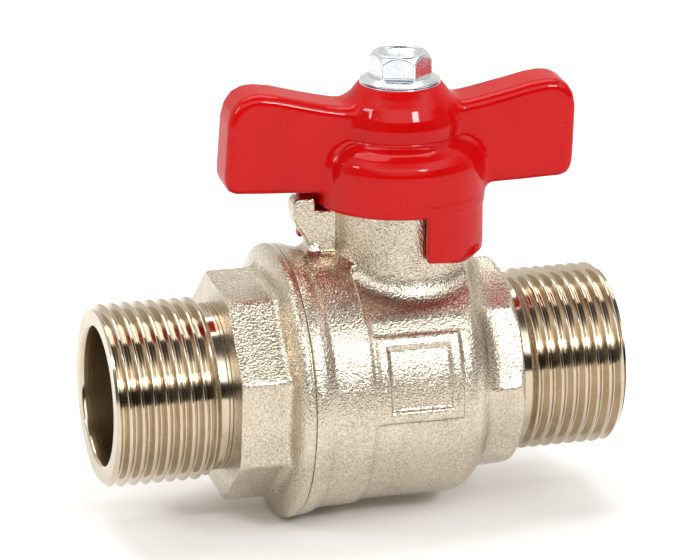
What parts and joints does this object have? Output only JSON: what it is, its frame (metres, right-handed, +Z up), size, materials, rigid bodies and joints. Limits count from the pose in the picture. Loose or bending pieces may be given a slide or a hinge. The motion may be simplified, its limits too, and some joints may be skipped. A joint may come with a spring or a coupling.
{
  "type": "ball valve",
  "caption": "Full-bore ball valve with male pipe threads at both ends, a quarter-turn butterfly handle, stop lug and two-piece forged body.",
  "frame": {"origin": "centre of the ball, where the pipe axis and the stem axis cross", "axes": "+X along the pipe towards the body's own threaded end, +Z up the stem to the handle, -Y is the side with the raised plain frame"},
  "size_m": [0.0759, 0.04, 0.0677],
  "materials": {
    "nickel_forging": "satin",
    "chromed_ball": "polished",
    "stem_brass": "satin",
    "nbr_seal": "matte",
    "ptfe": "matte",
    "red_paint": "gloss",
    "zinc_steel": "polished"
  },
  "bodies": {
    "housing": {"valve_body": "nickel_forging", "end_connector": "nickel_forging", "body_seal_ring": "nbr_seal", "seat_inlet": "ptfe", "seat_outlet": "ptfe", "thrust_washer": "ptfe", "packing_ring_lower": "ptfe", "packing_ring_upper": "ptfe", "gland_nut": "stem_brass"},
    "operator": {"stem": "stem_brass", "stem_o_ring_lower": "nbr_seal", "stem_o_ring_upper": "nbr_seal", "handle": "red_paint", "lock_washer": "zinc_steel", "handle_screw": "zinc_steel"},
    "ball": {"ball": "chromed_ball"}
  },
  "joints": [
    {"name": "handle_turn", "type": "hinge", "parent": "housing", "child": "operator", "pos_m": [0, 0, 0], "axis": [0, 0, 1], "range_deg": [-86, 4]},
    {"name": "ball_turn", "type": "hinge", "parent": "housing", "child": "ball", "pos_m": [0, 0, 0], "axis": [0, 0, 1], "range_deg": [-86, 4]}
  ],
  "couplings": [
    {"joint": "ball_turn", "follows": "handle_turn", "ratio": 1}
  ]
}
